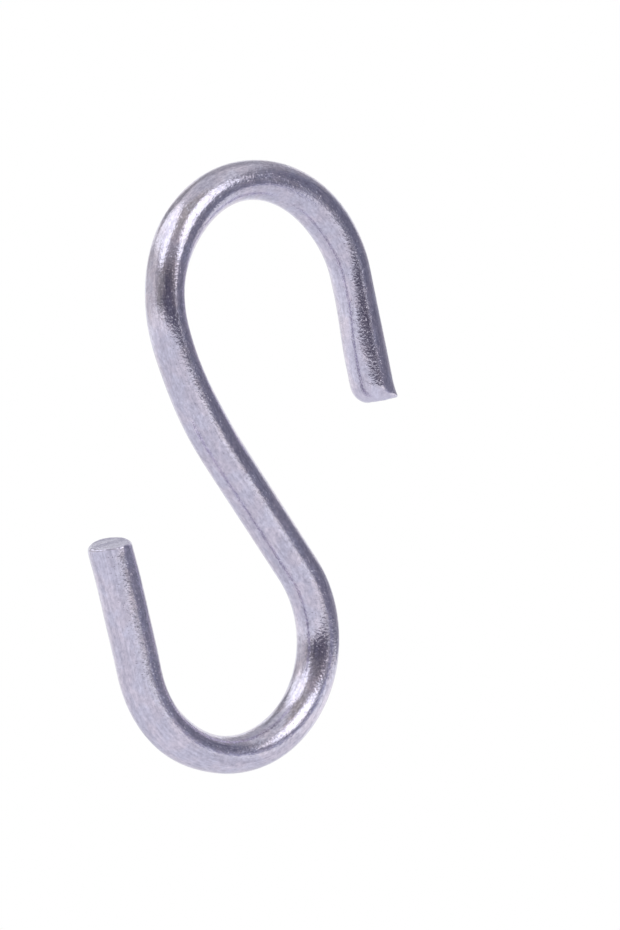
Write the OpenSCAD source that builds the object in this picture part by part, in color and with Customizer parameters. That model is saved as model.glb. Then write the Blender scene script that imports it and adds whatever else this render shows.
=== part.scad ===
// S hook of one round wire, cold bent into two open hooks that face opposite ways.
// It stands as it hangs. The origin is the inside of the upper bend, at its highest
// point, and the lower bend's bearing point lies straight below it.

/* [Wire] */
// Diameter of the round wire
wire_d = 1; // [0.6:0.05:1.3]
// Overall height, over the outside of both bends
overall_h = 14; // [12.75:0.25:20]

/* [Upper hook] */
// Inside radius of the upper bend
upper_bend_r = 2.15; // [1.5:0.05:2.5]
// Straight length of the upper leg
upper_leg_l = 3; // [1:0.05:4.5]
// Outward lean of the upper leg, in degrees from upright
upper_leg_lean = 21; // [0:1:35]

/* [Lower hook] */
// Inside radius of the lower bend
lower_bend_r = 2.05; // [1.5:0.05:2.5]
// Straight length of the lower leg
lower_leg_l = 2.95; // [1:0.05:4.5]
// Outward lean of the lower leg, in degrees from upright
lower_leg_lean = 22.5; // [0:0.5:35]

/* [Shoulder] */
// Inside radius of the easy curve that leads from the upper bend into the stem
shoulder_r = 8.5; // [4:0.25:12]
// Turn of that easy curve, in degrees
shoulder_turn = 20; // [5:1:25]

/* [Cut ends] */
// Radius that the cutter rolls over on the inner side of the upper end
upper_roll_r = 0.36; // [0.1:0.02:0.4]
// Radius that the cutter rolls over on the outer side of the lower end
lower_roll_r = 0.14; // [0.06:0.02:0.3]
// Tilt of the lower end's cut face towards the front, in degrees
lower_cut_tilt = 10; // [0:1:20]

/* [Hidden] */

// Facets round the wire, and round a whole turn of a bend
wire_fn = 64;
bend_fn = 128;
// Room that a cutter keeps past what it cuts
cut_over = wire_d / 2;

// Radii of the wire's centre line
upper_r = upper_bend_r + wire_d / 2;
lower_r = lower_bend_r + wire_d / 2;
easy_r = shoulder_r + wire_d / 2;

// The upper bend's centre lies straight above the lower bend's, and this is the gap
centre_gap = overall_h - 2 * wire_d - upper_bend_r - lower_bend_r;

// The stem touches the lower bend and the easy curve. Its angle from upright and its
// length follow from the gap between the two centres.
easy_step = easy_r - upper_r;
stem_lean = asin((easy_r + lower_r - easy_step * cos(shoulder_turn)) / centre_gap);
stem_l = centre_gap * cos(stem_lean) - easy_step * sin(shoulder_turn);

// Turn of each bend, in degrees
upper_turn = 180 + stem_lean - shoulder_turn - upper_leg_lean;
lower_turn = 180 + stem_lean - lower_leg_lean;
// Degrees by which the two halves of a bend run past its middle
bend_lap = 2;

// Arc of wire about the origin, from +X towards +Y
module arc(r, turn) {
    rotate_extrude(angle = turn, $fn = bend_fn)
        translate([r, 0])
            circle(d = wire_d, $fn = wire_fn);
}

// Bend about the origin, from +X towards +Y. Its two halves are drawn from its two ends,
// so that each end meets the next stretch face to face. What follows is drawn with its
// own +X on the far end.
module bend(r, turn) {
    arc(r, turn / 2 + bend_lap);
    rotate([0, 0, turn]) {
        mirror([0, 1, 0])
            arc(r, turn / 2 + bend_lap);
        children();
    }
}

// Straight stretch of wire along +Y, which starts on the X axis at x = r
module straight(r, l) {
    translate([r, 0, 0])
        rotate([-90, 0, 0])
            cylinder(d = wire_d, h = l, $fn = wire_fn);
}

// Waste that a cutter leaves outside a rolled edge. It lies across the end of a wire
// along +Y, on its +X side, with the end face at Y = 0.
module rolled_waste(roll_r) {
    difference() {
        translate([wire_d / 2 - roll_r, -roll_r, -wire_d])
            cube([roll_r + cut_over, roll_r + cut_over, 2 * wire_d]);
        translate([wire_d / 2 - roll_r, -roll_r, -wire_d - cut_over])
            cylinder(r = roll_r, h = 2 * (wire_d + cut_over), $fn = wire_fn);
    }
}

// Leg of wire along +Y, which starts on the X axis at x = r and is cut off at length l.
// The cut face leans back by tilt degrees at its front, which is +Z here. Its rolled edge
// is on the leg's outer side, or on the inner side, which faces the stem.
module leg(r, l, roll_r, roll_inside, tilt) {
    difference() {
        straight(r, l + cut_over);
        translate([r, l, 0])
            rotate([tilt, 0, 0]) {
                translate([-wire_d, 0, -wire_d])
                    cube(2 * wire_d);
                mirror([roll_inside ? 1 : 0, 0, 0])
                    rolled_waste(roll_r);
            }
    }
}

// The lower hook, with the end of the stem at the origin and the stem along +Y
module lower_hook() {
    translate([lower_r, 0, 0])
        mirror([1, 0, 0])
            bend(lower_r, lower_turn)
                leg(lower_r, lower_leg_l, lower_roll_r, false, lower_cut_tilt);
}

// The whole hook, drawn flat on its side and then stood up
module hook() {
    color("silver")
        rotate([90, 0, 0])
            translate([0, -upper_bend_r, 0])
                rotate([0, 0, upper_leg_lean]) {
                    mirror([0, 1, 0])
                        leg(upper_r, upper_leg_l, upper_roll_r, true, 0);
                    bend(upper_r, upper_turn)
                        translate([-easy_step, 0, 0])
                            bend(easy_r, shoulder_turn) {
                                straight(easy_r, stem_l);
                                translate([easy_r, stem_l, 0])
                                    lower_hook();
                            }
                }
}

hook();
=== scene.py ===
import math

import bmesh
import bpy
from mathutils import Matrix, Vector, noise


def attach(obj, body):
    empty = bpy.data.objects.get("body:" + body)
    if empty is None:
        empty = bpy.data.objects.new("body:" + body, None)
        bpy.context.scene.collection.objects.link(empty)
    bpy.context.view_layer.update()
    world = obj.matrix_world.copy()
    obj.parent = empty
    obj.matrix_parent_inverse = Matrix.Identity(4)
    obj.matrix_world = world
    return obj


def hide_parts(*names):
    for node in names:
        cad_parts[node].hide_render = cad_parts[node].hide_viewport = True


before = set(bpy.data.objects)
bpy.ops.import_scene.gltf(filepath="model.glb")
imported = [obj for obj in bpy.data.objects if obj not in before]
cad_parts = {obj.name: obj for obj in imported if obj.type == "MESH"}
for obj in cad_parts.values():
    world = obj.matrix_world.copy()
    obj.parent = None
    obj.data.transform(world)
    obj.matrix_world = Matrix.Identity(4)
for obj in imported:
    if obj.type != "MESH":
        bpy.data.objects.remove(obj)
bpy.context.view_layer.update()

mm = 0.001
print("frame loaded, nodes:", ", ".join(sorted(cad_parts)))


def deg(angle):
    return math.radians(angle)


# Node trees

def addNode(tree, kind, at, inputs=None, **settings):
    node = tree.nodes.new(kind)
    node.location = at
    for name, value in settings.items():
        setattr(node, name, value)
    for name, value in (inputs or {}).items():
        node.inputs[name].default_value = value
    return node


def connect(tree, *links):
    for source, output, target, entry in links:
        tree.links.new(source.outputs[output], target.inputs[entry])


def newMaterial(name):
    material = bpy.data.materials.new(name)
    material.use_nodes = True
    material.node_tree.nodes.clear()
    return material, material.node_tree


# Centre line of the wire, in the hook's own plane

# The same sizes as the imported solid's, in millimetres and degrees
wireShape = {
    "across": 1.0,
    "overallHeight": 14.0,
    "upperBend": 2.15,        # inside radius
    "upperLeg": 3.0,
    "upperLean": 21.0,
    "easyBend": 8.5,          # inside radius of the shoulder's easy curve
    "easyTurn": 20.0,
    "lowerBend": 2.05,        # inside radius
    "lowerLeg": 2.95,
    "lowerLean": 22.5,
}
half = wireShape["across"] / 2


# Each stretch from the upper tip to the lower one, as (start, length, radius, side, x, z,
# heading). The radius is 0 on a straight, and side is 1 for a left turn, -1 for a right one.
def layOutWire(shape):
    upper = shape["upperBend"] + half
    lower = shape["lowerBend"] + half
    easy = shape["easyBend"] + half
    centreGap = (shape["overallHeight"] - 2 * shape["across"]
                 - shape["upperBend"] - shape["lowerBend"])
    easyTurn = deg(shape["easyTurn"])
    easyStep = easy - upper
    stemLean = math.asin((easy + lower - easyStep * math.cos(easyTurn)) / centreGap)
    stem = centreGap * math.cos(stemLean) - easyStep * math.sin(easyTurn)
    upperTurn = math.pi + stemLean - easyTurn - deg(shape["upperLean"])
    lowerTurn = math.pi + stemLean - deg(shape["lowerLean"])

    lean = deg(shape["upperLean"])
    x = upper * math.cos(lean) + shape["upperLeg"] * math.sin(lean)
    z = -shape["upperBend"] + upper * math.sin(lean) - shape["upperLeg"] * math.cos(lean)
    heading = math.pi / 2 + lean
    start = 0.0
    laid = []
    for length, radius, side in (
            (shape["upperLeg"], 0, 1),
            (upper * upperTurn, upper, 1),
            (easy * easyTurn, easy, 1),
            (stem, 0, 1),
            (lower * lowerTurn, lower, -1),
            (shape["lowerLeg"], 0, 1)):
        laid.append((start, length, radius, side, x, z, heading))
        x, z, heading = along(laid[-1], length)
        start += length
    return laid


# Point and heading at a distance into one stretch
def along(stretch, distance):
    radius, side, x, z, heading = stretch[2:]
    if not radius:
        return x + distance * math.cos(heading), z + distance * math.sin(heading), heading
    turned = heading + side * distance / radius
    return (x + side * radius * (math.sin(turned) - math.sin(heading)),
            z - side * radius * (math.cos(turned) - math.cos(heading)), turned)


wireRun = layOutWire(wireShape)
wireLength = wireRun[-1][0] + wireRun[-1][1]


# The stretch that a distance from the upper tip falls on
def stretchAt(distance):
    return next((s for s in wireRun if distance <= s[0] + s[1]), wireRun[-1])


# Point and heading at a distance from the upper tip
def wireAt(distance):
    stretch = stretchAt(distance)
    return along(stretch, distance - stretch[0])


# The sweep of the wire's round section, by Geometry Nodes

sweepSet = {
    "sides": 112,
    "pointStep": 0.05,        # mm between the points that the sweep follows
    "ringStep": 0.058,        # mm between rings
    "waviness": 0.004,        # mm, slow unevenness that bending leaves
    "wavePerMm": 1.1,
    "waveMiddle": 0.5,        # value that the noise swings about
    "seed": 7.0,
}


def makeSweepTree():
    tree = bpy.data.node_groups.new("wire sweep", "GeometryNodeTree")
    outside = tree.interface
    outside.new_socket("Geometry", in_out="INPUT", socket_type="NodeSocketGeometry")
    for name, kind in (("Wire Radius", "Float"), ("Sides", "Int"), ("Ring Step", "Float"),
                       ("Waviness", "Float"), ("Wave Scale", "Float"), ("Seed", "Float"),
                       ("Metal", "Material")):
        outside.new_socket(name, in_out="INPUT", socket_type="NodeSocket" + kind)
    outside.new_socket("Geometry", in_out="OUTPUT", socket_type="NodeSocketGeometry")

    given = addNode(tree, "NodeGroupInput", (-1200, 0))
    line = addNode(tree, "GeometryNodeMeshToCurve", (-1000, 100))
    spaced = addNode(tree, "GeometryNodeResampleCurve", (-800, 100), mode="LENGTH")
    reach = addNode(tree, "GeometryNodeSplineParameter", (-800, -200))
    marked = addNode(tree, "GeometryNodeStoreNamedAttribute", (-600, 100), {"Name": "alongWire"},
                     data_type="FLOAT", domain="POINT")
    section = addNode(tree, "GeometryNodeCurvePrimitiveCircle", (-600, -300), mode="RADIUS")
    swept = addNode(tree, "GeometryNodeCurveToMesh", (-400, 100), {"Fill Caps": False})
    wave = addNode(tree, "ShaderNodeTexNoise", (-400, -200), {"Detail": 1.0},
                   noise_dimensions="4D")
    middle = addNode(tree, "ShaderNodeMath", (-220, -200), {1: sweepSet["waveMiddle"]},
                     operation="SUBTRACT")
    height = addNode(tree, "ShaderNodeMath", (-60, -200), operation="MULTIPLY")
    outward = addNode(tree, "GeometryNodeInputNormal", (-220, -400))
    offset = addNode(tree, "ShaderNodeVectorMath", (100, -200), operation="SCALE")
    shaped = addNode(tree, "GeometryNodeSetPosition", (280, 100))
    smooth = addNode(tree, "GeometryNodeSetShadeSmooth", (460, 100))
    real = addNode(tree, "GeometryNodeRealizeInstances", (640, 100))
    clad = addNode(tree, "GeometryNodeSetMaterial", (820, 100))
    result = addNode(tree, "NodeGroupOutput", (1000, 100))
    connect(tree,
            (given, "Geometry", line, 0), (line, 0, spaced, "Curve"),
            (given, "Ring Step", spaced, "Length"), (spaced, 0, marked, "Geometry"),
            (reach, "Length", marked, "Value"), (marked, 0, swept, "Curve"),
            (given, "Sides", section, "Resolution"), (given, "Wire Radius", section, "Radius"),
            (section, 0, swept, "Profile Curve"), (swept, 0, shaped, "Geometry"),
            (given, "Wave Scale", wave, "Scale"), (given, "Seed", wave, "W"),
            (wave, 0, middle, 0), (middle, 0, height, 0), (given, "Waviness", height, 1),
            (outward, 0, offset, 0), (height, 0, offset, "Scale"),
            (offset, 0, shaped, "Offset"), (shaped, 0, smooth, 0), (smooth, 0, real, 0),
            (real, 0, clad, "Geometry"), (given, "Metal", clad, "Material"),
            (clad, 0, result, 0))
    return tree


# The swept skin as a plain mesh, open at both ends
def sweepWire(metal):
    count = round(wireLength / sweepSet["pointStep"])
    points = []
    for i in range(count + 1):
        x, z = wireAt(wireLength * i / count)[:2]
        points.append((x * mm, 0.0, z * mm))
    path = bpy.data.meshes.new("wirePath")
    path.from_pydata(points, [(i, i + 1) for i in range(count)], [])
    host = bpy.data.objects.new("wirePath", path)
    bpy.context.collection.objects.link(host)

    tree = makeSweepTree()
    modifier = host.modifiers.new("wire sweep", "NODES")
    modifier.node_group = tree
    values = {
        "Wire Radius": half * mm, "Sides": sweepSet["sides"],
        "Ring Step": sweepSet["ringStep"] * mm, "Waviness": sweepSet["waviness"] * mm,
        "Wave Scale": sweepSet["wavePerMm"] / mm, "Seed": sweepSet["seed"], "Metal": metal,
    }
    for socket in tree.interface.items_tree:
        if socket.in_out == "INPUT" and socket.name in values:
            modifier[socket.identifier] = values[socket.name]
    host.update_tag()
    bpy.context.view_layer.update()
    seen = host.evaluated_get(bpy.context.evaluated_depsgraph_get())
    skin = bpy.data.meshes.new_from_object(seen)
    bpy.data.objects.remove(host)
    bpy.data.meshes.remove(path)
    return skin


# Where the bending tools pressed the round section: distance from the upper tip, and what
# the section gains on the left and on the right of the run, in mm
pressedAt = [
    # Upper leg
    (0.0, 0.0, 0.0), (1.0, 0.0, 0.0), (2.5, -0.09, -0.01),
    # Upper bend
    (4.5, 0.01, -0.01), (7.0, -0.05, -0.05), (9.0, 0.0, -0.06), (10.7, -0.06, -0.11),
    # Shoulder
    (12.0, -0.08, -0.04), (14.0, 0.0, 0.0),
    # Lower bend
    (18.5, 0.0, -0.02), (22.0, -0.04, -0.06), (24.0, -0.06, -0.09), (25.5, 0.0, -0.06),
    # Lower leg
    (27.5, -0.04, 0.04), (29.0, -0.04, 0.04), (30.0, 0.0, 0.0),
]


# A share from 0 to 1, with a soft start and a soft end
def eased(share):
    return share * share * (3 - 2 * share)


# Values between the two rows of a table that a position falls between, with a soft join
def between(table, position):
    for before, after in zip(table, table[1:]):
        if position <= after[0]:
            break
    share = eased(min(1.0, max(0.0, (position - before[0]) / (after[0] - before[0]))))
    return [a + (b - a) * share for a, b in zip(before[1:], after[1:])]


# The two sheared ends

# Degrees turn from the left of the run towards +Y, so -90 is the front, and lengths are in
# mm. The reach is the cut's height over the leg's squared end, and the marks are the height
# of its torn grain. The rolled edge is given as angle, how far in from the skin and how far
# down the leg. The lip is the burr that stands out from the skin: its height, its angle,
# its spread to each side, its reach down the leg and its rise past the cut.
upperCut = {
    "reach": 0.01, "tilt": 0.0, "marks": 0.010, "seed": 3.0,
    "rolled": [(-180, 0.03, 0.03), (-144, 0.03, 0.03), (-110, 0.14, 0.18), (-75, 0.30, 0.38),
               (-30, 0.37, 0.46), (36, 0.36, 0.44), (80, 0.25, 0.30), (130, 0.08, 0.08),
               (180, 0.03, 0.03)],
    "lip": 0.04, "lipAt": -150.0, "lipSpread": 60.0, "lipReach": 0.42, "lipRise": 0.02,
}
lowerCut = {
    "reach": 0.0, "tilt": 10.0, "marks": 0.012, "seed": 11.0,
    "rolled": [(-180, 0.07, 0.09), (-144, 0.08, 0.10), (-105, 0.05, 0.05), (-54, 0.03, 0.03),
               (0, 0.08, 0.10), (36, 0.15, 0.18), (90, 0.12, 0.14), (150, 0.06, 0.07),
               (180, 0.07, 0.09)],
    "lip": 0.024, "lipAt": -50.0, "lipSpread": 85.0, "lipReach": 0.10, "lipRise": 0.03,
}
cutSet = {
    "settle": 0.9,            # mm of wire over which the rings are moved to suit the cut
    "endSlack": 0.01,         # mm from a leg's end within which its last ring lies
    "rollSteps": 10,
    "capRings": 12,
    "coarseMarks": (2.4, 5.0),    # per mm, in the hook's plane and across it
    "fineMarks": (7.0, 26.0),
    "fineSeed": 4.0,          # over the cut's own seed
    "fineShare": 0.5,         # height of the fine marks, as a part of the coarse ones'
    "lipMean": 0.75,          # part of the burr's height that its ragged top swings about
    "lipSwing": 1.1,
    "lipNicks": 4.5,          # per radian round the wire
    "lipSlice": 2.0,          # where the burr's noise is cut through
    "lipFade": 6,             # power by which the burr dies away towards the middle
}


# Height of the cut plane over the leg's squared end, in mm
def planeHeight(cut, left, depth):
    coarse, fine = [
        noise.noise(Vector((left * marks[0], depth * marks[1], seed)))
        for marks, seed in ((cutSet["coarseMarks"], cut["seed"]),
                            (cutSet["fineMarks"], cut["seed"] + cutSet["fineSeed"]))]
    return (cut["reach"] + math.tan(deg(cut["tilt"])) * depth
            + cut["marks"] * (coarse + cutSet["fineShare"] * fine))


# Part of the burr's height at an angle round the wire, from 0
def lipShare(cut, angle):
    away = abs((angle - deg(cut["lipAt"]) + math.pi) % (2 * math.pi) - math.pi)
    share = max(0.0, 1.0 - away / deg(cut["lipSpread"]))
    nicks = noise.noise(Vector((angle * cutSet["lipNicks"], cut["seed"], cutSet["lipSlice"])))
    return eased(share) * max(0.0, cutSet["lipMean"] + cutSet["lipSwing"] * nicks)


# Top of the leg's wall at an angle, where the rolled edge starts
def wallTop(cut, angle):
    down = between(cut["rolled"], math.degrees(angle))[1]
    level = planeHeight(cut, half * math.cos(angle), half * math.sin(angle))
    return level - down + cut["lipRise"] * lipShare(cut, angle)


# Place in the scene of a point of the straightened wire, at a radius and an angle, and its
# place on the straightened wire, as left, depth and distance in mm
def setOnWire(stretch, distance, radius, angle):
    left, depth = radius * math.cos(angle), radius * math.sin(angle)
    gains = between(pressedAt, distance)
    pressed = left * (1 + gains[0 if left > 0 else 1] / half)
    x, z, heading = along(stretch, distance - stretch[0])
    return (Vector((x - pressed * math.sin(heading), depth,
                    z + pressed * math.cos(heading))) * mm, (left, depth, distance))


# The swept skin gets its pressed section, its burrs and its two closed ends, and each point
# keeps its place on the straightened wire
def shapeSkin(skin):
    bm = bmesh.new()
    bm.from_mesh(skin)
    reach = bm.verts.layers.float["alongWire"]
    coord = bm.verts.layers.float_vector.new("wireCoord")
    cutShare = bm.verts.layers.float.new("cutFace")
    settle = cutSet["settle"]
    ends = ((upperCut, 0.0, -1, wireRun[0]), (lowerCut, wireLength, 1, wireRun[-1]))
    for vert in bm.verts:
        distance = vert[reach] / mm
        x, z, heading = wireAt(distance)
        outX, outZ = vert.co.x / mm - x, vert.co.z / mm - z
        left = -outX * math.sin(heading) + outZ * math.cos(heading)
        angle = math.atan2(vert.co.y / mm, left)
        radius = math.hypot(left, vert.co.y / mm)
        stretch = stretchAt(distance)
        for cut, edge, way, leg in ends:
            level = (distance - edge) * way
            if level > -settle:
                top = wallTop(cut, angle)
                level = -settle + (level + settle) * (top + settle) / settle
                near = max(0.0, 1.0 + (level - top) / cut["lipReach"])
                radius += cut["lip"] * lipShare(cut, angle) * near * near
                distance = edge + way * level
                stretch = leg
        vert.co, vert[coord] = setOnWire(stretch, distance, radius, angle)

    for cut, edge, way, leg in ends:
        ring = [v for v in bm.verts
                if v.is_boundary and abs(v[reach] / mm - edge) < cutSet["endSlack"]]
        ring.sort(key=lambda v: math.atan2(v[coord].y, v[coord].x))
        closeEnd(bm, ring, cut, edge, way, leg, coord, cutShare)

    bmesh.ops.recalc_face_normals(bm, faces=bm.faces)
    for face in bm.faces:
        face.smooth = True
    bm.to_mesh(skin)
    bm.free()
    skin.attributes.remove(skin.attributes["alongWire"])


# Rings of skin over the rolled edge and across the cut face, to a point in the middle
def closeEnd(bm, ring, cut, edge, way, leg, coord, cutShare):
    angles = [math.atan2(v[coord].y, v[coord].x) for v in ring]
    steps, rings = cutSet["rollSteps"], cutSet["capRings"]
    rows = [(math.pi / 2 * i / steps, 1.0, i / steps) for i in range(1, steps + 1)]
    rows += [(math.pi / 2, 1 - i / rings, 1.0) for i in range(1, rings + 1)]

    def addVert(turn, share, angle, bright):
        inward, down = between(cut["rolled"], math.degrees(angle))
        radius = (half - inward + inward * math.cos(turn)) * share
        level = planeHeight(cut, radius * math.cos(angle), radius * math.sin(angle))
        burr = lipShare(cut, angle) * (radius / half) ** cutSet["lipFade"]
        level += cut["lipRise"] * burr - down * (1 - math.sin(turn))
        spot, flat = setOnWire(leg, edge + way * level, radius + cut["lip"] * burr, angle)
        vert = bm.verts.new(spot)
        vert[coord] = flat
        vert[cutShare] = bright
        return vert

    last = ring
    for turn, share, bright in rows:
        row = [addVert(turn, share, angle, bright) for angle in (angles if share else [0.0])]
        for i in range(len(last)):
            j = (i + 1) % len(last)
            if share:
                bm.faces.new((last[i], last[j], row[j], row[i]))
            else:
                bm.faces.new((last[i], last[j], row[0]))
        last = row


# Drawn wire

drawnSet = {
    "light": (0.83, 0.81, 0.97, 1.0),
    "blush": (0.88, 0.81, 0.93, 1.0),
    "dark": (0.43, 0.41, 0.515, 1.0),
    "cutTone": (0.70, 0.68, 0.83, 1.0),
    "toneSpread": (0.26, 1.14),   # sums of the weighted grains that give dark and light
    "roughness": (0.09, 0.17),
    "roughFromFine": 0.4,     # shares of the roughness that the fine lines and the clouds give
    "roughFromCloud": 0.6,
    "roughOnCut": 0.12,       # more roughness on a cut face
    "bump": 0.0050,           # mm that 1 of the relief stands for
    "fineRelief": 0.28,       # relief of each grain, where the specks have 1
    "pitRelief": 0.6,
    "tornRelief": 3.0,
}

# The grains are noise. A scale is per mm of the straightened wire, to the left, in depth and
# along it. A spread is the stretch of the noise that is drawn out to run from 0 to 1, and a
# weight is the grain's share of the tone.
grains = {
    "broadLines": {"scale": (7.0, 7.0, 0.3), "detail": 3.0, "rough": 0.6,
                   "spread": (0.3, 0.7), "weight": 0.24},
    "fineLines": {"scale": (34.0, 34.0, 0.9), "detail": 4.0, "rough": 0.65,
                  "spread": (0.32, 0.68), "weight": 0.26},
    "mottle": {"scale": (13.0, 13.0, 9.0), "detail": 3.0, "rough": 0.75,
               "shift": (9.0, 4.0, 2.0), "spread": (0.28, 0.72), "weight": 0.62},
    "cloud": {"scale": (2.6, 2.6, 1.3), "detail": 3.0, "rough": 0.6,
              "shift": (3.0, 1.0, 7.0), "spread": (0.3, 0.7), "weight": 0.22},
    "warmth": {"scale": (3.2, 3.2, 2.4), "detail": 2.0, "rough": 0.5,
               "shift": (1.0, 8.0, 4.0), "spread": (0.4, 0.6)},
    "specks": {"scale": (19.0, 19.0, 16.0), "detail": 2.0, "rough": 0.6},
    "pits": {"scale": (21.0, 21.0, 17.0), "detail": 1.0, "rough": 0.5,
             "shift": (2.0, 6.0, 5.0), "spread": (0.64, 0.78)},
    "torn": {"scale": (5.0, 16.0, 12.0), "detail": 4.0, "rough": 0.7},
}


def makeDrawnWire():
    material, tree = newMaterial("drawn wire")
    place = addNode(tree, "ShaderNodeAttribute", (-1400, 0), attribute_name="wireCoord")
    face = addNode(tree, "ShaderNodeAttribute", (-1400, -400), attribute_name="cutFace")

    def grain(name, at):
        facts = grains[name]
        turned = addNode(tree, "ShaderNodeMapping", at, {
            "Scale": facts["scale"], "Location": facts.get("shift", (0.0, 0.0, 0.0))})
        field = addNode(tree, "ShaderNodeTexNoise", (at[0] + 200, at[1]), {
            "Scale": 1.0, "Detail": facts["detail"], "Roughness": facts["rough"]})
        connect(tree, (place, "Vector", turned, "Vector"), (turned, 0, field, "Vector"))
        return field

    def ranged(source, at, spread, to=(0.0, 1.0)):
        node = addNode(tree, "ShaderNodeMapRange", at, {
            "From Min": spread[0], "From Max": spread[1], "To Min": to[0], "To Max": to[1]})
        connect(tree, (source, 0, node, "Value"))
        return node

    def mathOf(kind, at, first, second):
        node = addNode(tree, "ShaderNodeMath", at, operation=kind)
        for i, term in enumerate((first, second)):
            if isinstance(term, (int, float)):
                node.inputs[i].default_value = term
            else:
                connect(tree, (term, 0, node, i))
        return node

    def weighted(at, first, second):
        return mathOf("ADD", at, mathOf("MULTIPLY", (at[0] - 150, at[1] + 70), *first),
                      mathOf("MULTIPLY", (at[0] - 150, at[1] - 70), *second))

    broadLines = grain("broadLines", (-1200, 400))
    fineLines = grain("fineLines", (-1200, 150))
    specks = grain("specks", (-1200, -100))
    cloud = grain("cloud", (-1200, -350))
    torn = grain("torn", (-1200, -600))
    mottle = grain("mottle", (-1200, -850))
    pits = grain("pits", (-1200, -1100))
    warmth = grain("warmth", (-1200, 650))

    broadTone = ranged(broadLines, (-800, 400), grains["broadLines"]["spread"])
    fineTone = ranged(fineLines, (-800, 150), grains["fineLines"]["spread"])
    cloudTone = ranged(cloud, (-800, -350), grains["cloud"]["spread"])
    mottleTone = ranged(mottle, (-800, -850), grains["mottle"]["spread"])
    warmTone = ranged(warmth, (-800, 650), grains["warmth"]["spread"])
    lines = weighted((-450, 250), (broadTone, grains["broadLines"]["weight"]),
                     (fineTone, grains["fineLines"]["weight"]))
    spots = weighted((-450, -50), (mottleTone, grains["mottle"]["weight"]),
                     (cloudTone, grains["cloud"]["weight"]))
    toneSum = ranged(mathOf("ADD", (-400, 100), lines, spots), (-300, 100),
                     drawnSet["toneSpread"])
    hue = addNode(tree, "ShaderNodeMix", (-400, 500),
                  {"A": drawnSet["light"], "B": drawnSet["blush"]}, data_type="RGBA")
    tone = addNode(tree, "ShaderNodeMix", (-200, 200), {"A": drawnSet["dark"]},
                   data_type="RGBA")
    ends = addNode(tree, "ShaderNodeMix", (0, 200), {"B": drawnSet["cutTone"]},
                   data_type="RGBA")
    connect(tree, (warmTone, 0, hue, "Factor"), (hue, "Result", tone, "B"),
            (toneSum, 0, tone, "Factor"), (tone, "Result", ends, "A"),
            (face, "Fac", ends, "Factor"))

    roughSum = weighted((-200, -150), (fineTone, drawnSet["roughFromFine"]),
                        (cloudTone, drawnSet["roughFromCloud"]))
    rough = ranged(roughSum, (0, -100), (0.0, 1.0), drawnSet["roughness"])
    roughEnds = mathOf("ADD", (180, -100), rough,
                       mathOf("MULTIPLY", (20, -300), face, drawnSet["roughOnCut"]))

    pitDepth = ranged(pits, (-800, -1100), grains["pits"]["spread"],
                      (0.0, drawnSet["pitRelief"]))
    relief = mathOf("ADD", (-200, -450),
                    mathOf("MULTIPLY", (-350, -400), fineLines, drawnSet["fineRelief"]),
                    mathOf("SUBTRACT", (-350, -540), specks, pitDepth))
    tornRelief = mathOf("MULTIPLY", (-350, -680), torn, drawnSet["tornRelief"])
    reliefMix = addNode(tree, "ShaderNodeMix", (0, -480), data_type="FLOAT")
    bump = addNode(tree, "ShaderNodeBump", (180, -480),
                   {"Strength": 1.0, "Distance": drawnSet["bump"] * mm})
    connect(tree, (face, "Fac", reliefMix, "Factor"), (relief, 0, reliefMix, "A"),
            (tornRelief, 0, reliefMix, "B"), (reliefMix, "Result", bump, "Height"))

    shader = addNode(tree, "ShaderNodeBsdfPrincipled", (400, 100), {"Metallic": 1.0})
    result = addNode(tree, "ShaderNodeOutputMaterial", (700, 100))
    connect(tree, (ends, "Result", shader, "Base Color"), (roughEnds, 0, shader, "Roughness"),
            (bump, "Normal", shader, "Normal"), (shader, 0, result, "Surface"))
    return material


drawnWire = makeDrawnWire()
print("material made:", drawnWire.name)

hookSkin = sweepWire(drawnWire)
hookSkin.name = "hookWire"
print("swept the wire:", round(wireLength, 2), "mm long")
shapeSkin(hookSkin)
hookWire = bpy.data.objects.new("hookWire", hookSkin)
bpy.context.collection.objects.link(hookWire)
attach(hookWire, "root")
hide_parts("hook")
print("hook wire made, faces:", len(hookSkin.polygons))


# Camera, at the photograph's angle

viewSet = {
    "middle": (0.0, 0.0, -6.0),   # mm, the point that the angles are about
    "distance": 120.0,            # mm
    "azimuth": -36.28,
    "elevation": -5.863,
    "roll": 5.317,
    "aside": 1.492,               # mm from the middle to the frame's centre, to the right
    "above": 0.021,
    "frameHeight": 20.933,        # mm that the frame takes in at the hook's distance
    "sensor": 36.0,               # mm
    "clipFrom": 1.0,              # mm
    "clipTo": 10000.0,            # mm
}
hookMiddle = Vector(viewSet["middle"]) * mm


# Right, up and back of the photograph's view
def viewAxes():
    az, el, ro = (deg(viewSet[name]) for name in ("azimuth", "elevation", "roll"))
    back = Vector((math.sin(az) * math.cos(el), -math.cos(az) * math.cos(el), math.sin(el)))
    level = Vector((math.cos(az), math.sin(az), 0.0))
    rise = back.cross(level)
    return (level * math.cos(ro) + rise * math.sin(ro),
            rise * math.cos(ro) - level * math.sin(ro), back)


def makeCamera():
    right, up, back = viewAxes()
    spot = hookMiddle + back * viewSet["distance"] * mm
    target = hookMiddle + (right * viewSet["aside"] + up * viewSet["above"]) * mm
    back = (spot - target).normalized()
    right = up.cross(back).normalized()
    up = back.cross(right)
    data = bpy.data.cameras.new("camera")
    data.sensor_fit = "AUTO"
    data.sensor_width = viewSet["sensor"]
    data.lens = viewSet["sensor"] * viewSet["distance"] / viewSet["frameHeight"]
    data.clip_start = viewSet["clipFrom"] * mm
    data.clip_end = viewSet["clipTo"] * mm
    camera = bpy.data.objects.new("camera", data)
    turn = Matrix((right, up, back)).transposed().to_4x4()
    camera.matrix_world = Matrix.Translation(spot) @ turn
    bpy.context.collection.objects.link(camera)
    bpy.context.scene.camera = camera


makeCamera()
bpy.context.scene.view_settings.view_transform = "Standard"
print("camera set")


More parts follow.
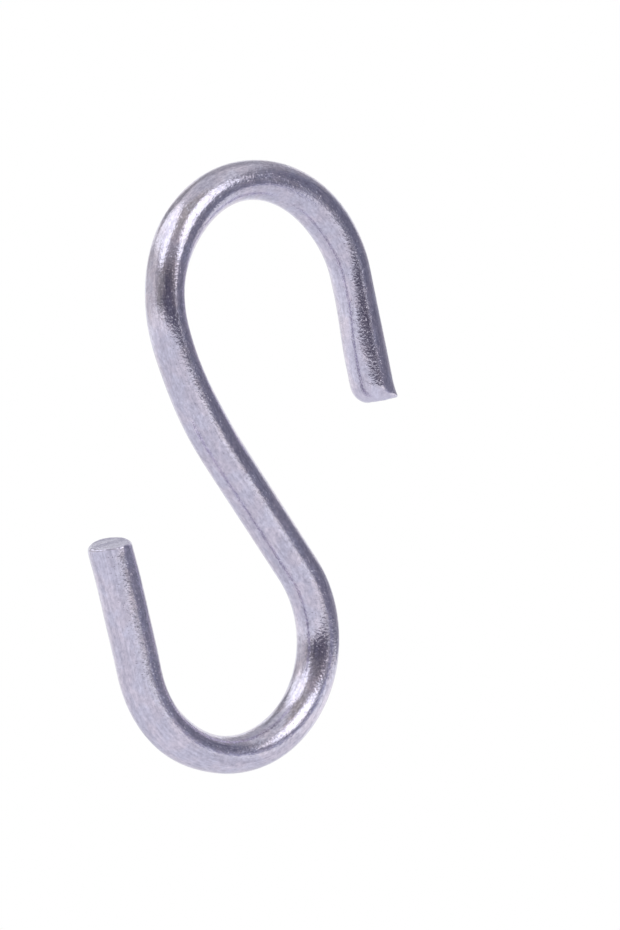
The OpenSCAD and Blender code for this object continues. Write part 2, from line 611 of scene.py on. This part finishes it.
# Studio: white surround, pale floor, glowing cards that paint the metal's reflections, and two
# area lamps

studioSet = {
    "surround": 1.0,          # what the camera and the metal see of it
    "surroundTone": (1.0, 1.0, 1.0, 1.0),
    "softLight": 0.86,        # what lights the floor
    "softTone": (0.97, 0.98, 1.0, 1.0),
    "floorDrop": 52.0,        # mm under the hook's upper seat
    "floorSize": 600.0,       # mm, radius
    "floorSides": 96,
    "floorTone": (0.86, 0.855, 0.88, 1.0),
    "fadeFrom": 70.0,         # mm from the floor's middle, where it starts to turn white
    "fadeTo": 260.0,
    "cardRows": 6,
}

# Cards round the camera, which only reflections show. They glow though they are no lamps and
# light nothing: they are painted reflections, the bright ones painted highlights and the dim
# ones painted shade for the metal's dark bands. Each is a band of columns, given as degrees to
# the right of the camera and the degrees above it where the column starts and ends, seen from
# the hook's middle. The glow is the brightness at those two ends, and the reach is the distance
# in mm. A nearer card hides a farther one.
plainTint = (1.0, 1.0, 1.0)
paintedShadeTint = (1.06, 1.0, 1.34)
paintedReflectionTint = (1.02, 1.0, 1.0)
blueTint = (0.99, 1.0, 1.24)
cards = {
    # Dim glowing cards: painted shade, the dark and bluish bands that the metal reflects
    "nearPaintedShade": {"tint": paintedShadeTint, "glow": (0.125, 0.115), "reach": 50, "columns": [
        (-44, 3, 9), (-35, 1, 9), (-27, -3, 8), (-18, -8.5, 7), (-8, -8, 6), (5, -8, 6),
        (20, -8, 6), (30, -7, 6), (40, -5.5, 6), (50, -4, 5), (57, -2, 4)]},
    "nearPaintedShadeLeft": {"tint": paintedReflectionTint, "glow": (0.25, 0.22), "reach": 51, "columns": [
        (-66, 1, 9), (-48, 0, 10), (-38, -3, 10)]},
    "nearBlue": {"tint": blueTint, "glow": (0.27, 0.24), "reach": 28, "columns": [
        (66, -3, 10), (70, -10, 13), (74, -14, 14), (80, -13, 14), (90, -10, 14),
        (102, -10, 11), (114, -8, 7)]},
    "nearDim": {"tint": blueTint, "glow": (0.48, 0.42), "reach": 29, "columns": [
        (58, -28, -20), (64, -28, -17), (70, -27, -11), (78, -24, -12), (90, -18, -9)]},
    "midBlue": {"tint": blueTint, "glow": (0.24, 0.23), "reach": 60, "columns": [
        (57, 0, 4), (66, -1, 7), (75, -4, 8), (90, -7, 8), (105, -7, 7), (118, -6, 4)]},
    "farPaintedShade": {"tint": paintedShadeTint, "glow": (0.115, 0.115), "reach": 300, "columns": [
        (-24, 1, 14), (-15, -4, 16), (0, -4, 14), (15, -5, 13), (30, -5, 8), (42, -3, 6),
        (52, 1, 5), (60, 2, 4)]},
    "sidePaintedShade": {"tint": paintedReflectionTint, "glow": (0.38, 0.30), "reach": 320, "columns": [
        (-56, -12, 20), (-42, -12, 24), (-20, -12, 31)]},
    "dimPaintedShade": {"tint": (1.06, 1.0, 1.05), "glow": (0.13, 0.54), "reach": 310, "columns": [
        (-34, 8, 33), (-15, 13, 42), (0, 12, 39), (15, 12, 34), (26, 9, 28), (36, 6, 21),
        (50, 5, 12), (64, 2, 8)]},
    # Grey glowing cards: painted reflections of walls, which nothing lights
    "paintedSideWall": {"tint": paintedReflectionTint, "glow": (0.47, 0.50), "reach": 330, "columns": [
        (-76, -12, 22), (-53, -12, 24)]},
    "paintedLeftWall": {"tint": paintedReflectionTint, "glow": (0.74, 0.66), "reach": 350, "columns": [
        (-145, -14, 24), (-85, -14, 24), (-72, -14, 22)]},
    "paintedBlueWall": {"tint": blueTint, "glow": (0.22, 0.25), "reach": 340, "columns": [
        (65, 6, 73), (75, 4, 76), (90, 2, 71), (105, -2, 62), (120, -10, 54)]},
    # Bright glowing cards: painted highlights in the place of softboxes; they light nothing
    "softBoxRight": {"tint": plainTint, "glow": (1.9, 1.6), "reach": 400, "columns": [
        (22, 34, 45), (26, 30, 50), (30, 27, 53), (38, 19, 53), (45, 13, 51), (52, 9.5, 46),
        (60, 8, 36), (67, 7, 25)]},
    "softBoxLeft": {"tint": plainTint, "glow": (1.55, 1.55), "reach": 400, "columns": [
        (-64, 28, 72), (-52, 23, 83), (-42, 23, 84), (-37, 28, 79), (-31, 33, 72),
        (-27, 39, 66), (-23, 46, 60)]},
    "softBoxEdge": {"tint": (1.0, 1.0, 0.98), "glow": (1.22, 1.22), "reach": 410, "columns": [
        (-106, 52, 66), (-90, 39, 80), (-76, 31, 87), (-54, 23, 91)]},
    # Grey glowing cards: painted reflections of walls and ceilings, which nothing lights
    "paintedWarmWall": {"tint": (1.04, 1.0, 0.94), "glow": (0.52, 0.45), "reach": 420, "columns": [
        (-44, 22, 84), (-24, 26, 72), (0, 30, 70), (20, 28, 64), (34, 26, 58)]},
    "paintedHighLeftWall": {"tint": paintedReflectionTint, "glow": (0.60, 0.52), "reach": 425, "columns": [
        (-145, 20, 54), (-105, 20, 50), (-85, 20, 44), (-44, 18, 38)]},
    "paintedCeiling": {"tint": (1.0, 1.0, 1.01), "glow": (0.74, 0.70), "reach": 430, "columns": [
        (-50, 80, 112), (-20, 68, 112), (0, 68, 112), (20, 62, 112), (40, 48, 112),
        (56, 46, 105)]},
    "paintedCeilingRight": {"tint": (1.0, 1.0, 1.07), "glow": (0.40, 0.38), "reach": 428, "columns": [
        (52, 40, 95), (75, 50, 84), (100, 44, 76)]},
    "paintedFarRightCeiling": {"tint": (1.0, 1.0, 1.08), "glow": (0.42, 0.42), "reach": 445,
                        "columns": [(50, 88, 125), (80, 74, 115), (105, 48, 95),
                                    (125, 44, 70)]},
    "paintedFarRightWall": {"tint": (1.0, 1.0, 1.12), "glow": (0.36, 0.38), "reach": 450,
                     "columns": [(118, -18, 52), (150, -18, 52)]},
    "paintedBackCeiling": {"tint": (1.0, 1.0, 1.04), "glow": (0.50, 0.50), "reach": 455, "columns": [
        (-62, 108, 140), (0, 110, 148), (62, 100, 140)]},
    "paintedFarCorner": {"tint": (1.0, 1.0, 1.02), "glow": (0.36, 0.36), "reach": 440, "columns": [
        (-118, 58, 96), (-98, 66, 108), (-80, 80, 118), (-66, 92, 124), (-34, 106, 130)]},
    "paintedBackWall": {"tint": paintedReflectionTint, "glow": (0.55, 0.60), "reach": 480, "columns": [
        (-116, -6, 60), (-90, -6, 100), (-60, -6, 124), (0, -6, 138), (60, -6, 124),
        (90, -6, 100), (116, -6, 60)]},
}


# 1 for camera, glossy and transmission rays, and 0 for the rays that light other things
def lightPathSwitch(tree, at):
    rays = addNode(tree, "ShaderNodeLightPath", at)
    seen = addNode(tree, "ShaderNodeMath", (at[0] + 200, at[1]), operation="MAXIMUM")
    either = addNode(tree, "ShaderNodeMath", (at[0] + 400, at[1]), operation="MAXIMUM")
    connect(tree, (rays, "Is Camera Ray", seen, 0), (rays, "Is Glossy Ray", seen, 1),
            (seen, 0, either, 0), (rays, "Is Transmission Ray", either, 1))
    return either


def makeSurround():
    world = bpy.data.worlds.new("white surround")
    bpy.context.scene.world = world
    world.use_nodes = True
    tree = world.node_tree
    tree.nodes.clear()
    light = addNode(tree, "ShaderNodeBackground", (0, 100),
                    {"Color": studioSet["softTone"], "Strength": studioSet["softLight"]})
    white = addNode(tree, "ShaderNodeBackground", (0, -100),
                    {"Color": studioSet["surroundTone"], "Strength": studioSet["surround"]})
    mix = addNode(tree, "ShaderNodeMixShader", (200, 0))
    result = addNode(tree, "ShaderNodeOutputWorld", (400, 0))
    connect(tree, (lightPathSwitch(tree, (-700, 300)), 0, mix, 0), (light, 0, mix, 1),
            (white, 0, mix, 2), (mix, 0, result, "Surface"))


def makeFloor():
    material, tree = newMaterial("floor card")
    coord = addNode(tree, "ShaderNodeTexCoord", (-900, -100))
    reach = addNode(tree, "ShaderNodeVectorMath", (-700, -100), operation="LENGTH")
    fade = addNode(tree, "ShaderNodeMapRange", (-500, -100), {
        "From Min": studioSet["fadeFrom"] * mm, "From Max": studioSet["fadeTo"] * mm},
        interpolation_type="SMOOTHSTEP")
    share = addNode(tree, "ShaderNodeMath", (-100, 0), operation="MULTIPLY")
    paper = addNode(tree, "ShaderNodeBsdfDiffuse", (0, 200), {"Color": studioSet["floorTone"]})
    white = addNode(tree, "ShaderNodeEmission", (0, -200), {"Strength": studioSet["surround"]})
    mix = addNode(tree, "ShaderNodeMixShader", (200, 0))
    result = addNode(tree, "ShaderNodeOutputMaterial", (400, 0))
    connect(tree, (coord, "Object", reach, 0), (reach, "Value", fade, "Value"),
            (fade, 0, share, 0), (lightPathSwitch(tree, (-900, 300)), 0, share, 1),
            (share, 0, mix, 0), (paper, 0, mix, 1), (white, 0, mix, 2),
            (mix, 0, result, "Surface"))
    bm = bmesh.new()
    bmesh.ops.create_circle(bm, cap_ends=True, segments=studioSet["floorSides"],
                            radius=studioSet["floorSize"] * mm)
    mesh = bpy.data.meshes.new("floor")
    bm.to_mesh(mesh)
    bm.free()
    mesh.materials.append(material)
    floor = bpy.data.objects.new("floor", mesh)
    floor.location = (0.0, 0.0, -studioSet["floorDrop"] * mm)
    bpy.context.collection.objects.link(floor)


# A direction given in degrees to the right of the camera and above it
def directionTo(aside, above):
    right, up, back = viewAxes()
    away, turn = deg(math.hypot(aside, above)), math.atan2(above, aside)
    return ((right * math.cos(turn) + up * math.sin(turn)) * math.sin(away)
            + back * math.cos(away))


# A card bent round the hook's middle, with its glow held by its points: a painted reflection
# that only glossy rays see
def makeCard(name, facts, material):
    rows = studioSet["cardRows"]
    columns = facts["columns"]
    lowGlow, highGlow = facts["glow"]
    corners, glows = [], []
    for aside, low, high in columns:
        for i in range(rows + 1):
            share = i / rows
            corners.append(hookMiddle + directionTo(aside, low + (high - low) * share)
                           * facts["reach"] * mm)
            glow = lowGlow + (highGlow - lowGlow) * share
            glows += [channel * glow for channel in facts["tint"]] + [1.0]
    step = rows + 1
    faces = [(c * step + i, c * step + i + 1, (c + 1) * step + i + 1, (c + 1) * step + i)
             for c in range(len(columns) - 1) for i in range(rows)]
    mesh = bpy.data.meshes.new(name)
    mesh.from_pydata(corners, [], faces)
    mesh.attributes.new("glow", "FLOAT_COLOR", "POINT").data.foreach_set("color", glows)
    mesh.materials.append(material)
    card = bpy.data.objects.new(name, mesh)
    card.visible_camera = False
    card.visible_diffuse = False
    card.visible_shadow = False
    bpy.context.collection.objects.link(card)


# Emission that paints the cards' reflections in the metal, though the cards are no lamps
def makePaintedReflectionGlow():
    material, tree = newMaterial("painted reflection glow")
    held = addNode(tree, "ShaderNodeAttribute", (-200, 0), attribute_name="glow")
    glow = addNode(tree, "ShaderNodeEmission", (0, 0), {"Strength": 1.0})
    result = addNode(tree, "ShaderNodeOutputMaterial", (200, 0))
    connect(tree, (held, "Color", glow, "Color"), (glow, 0, result, "Surface"))
    return material


# Area lamps that light the floor and cast the hook's shadow. Their places are in degrees to
# the right of the camera and above it, and their sizes and distances in mm.
lamps = {
    "lampLeft": {"aside": -45, "above": 58, "wide": 160, "high": 130, "away": 240,
                 "radiance": 1.1},
    "lampRight": {"aside": 42, "above": 32, "wide": 90, "high": 70, "away": 240,
                  "radiance": 1.1},
}


def makeLamp(name, lamp):
    back = directionTo(lamp["aside"], lamp["above"])
    data = bpy.data.lights.new(name, "AREA")
    data.shape = "RECTANGLE"
    data.size = lamp["wide"] * mm
    data.size_y = lamp["high"] * mm
    data.energy = lamp["radiance"] * math.pi * data.size * data.size_y
    thing = bpy.data.objects.new(name, data)
    right = Vector((0, 0, 1)).cross(back).normalized()
    turn = Matrix((right, back.cross(right), back)).transposed().to_4x4()
    thing.matrix_world = Matrix.Translation(hookMiddle + back * lamp["away"] * mm) @ turn
    thing.visible_camera = False
    thing.visible_glossy = False      # the metal shows the cards in their place
    bpy.context.collection.objects.link(thing)


makeSurround()
makeFloor()
paintedReflectionGlow = makePaintedReflectionGlow()
for cardName, cardFacts in cards.items():
    makeCard(cardName, cardFacts, paintedReflectionGlow)
for lampName, lampFacts in lamps.items():
    makeLamp(lampName, lampFacts)
print("studio set")
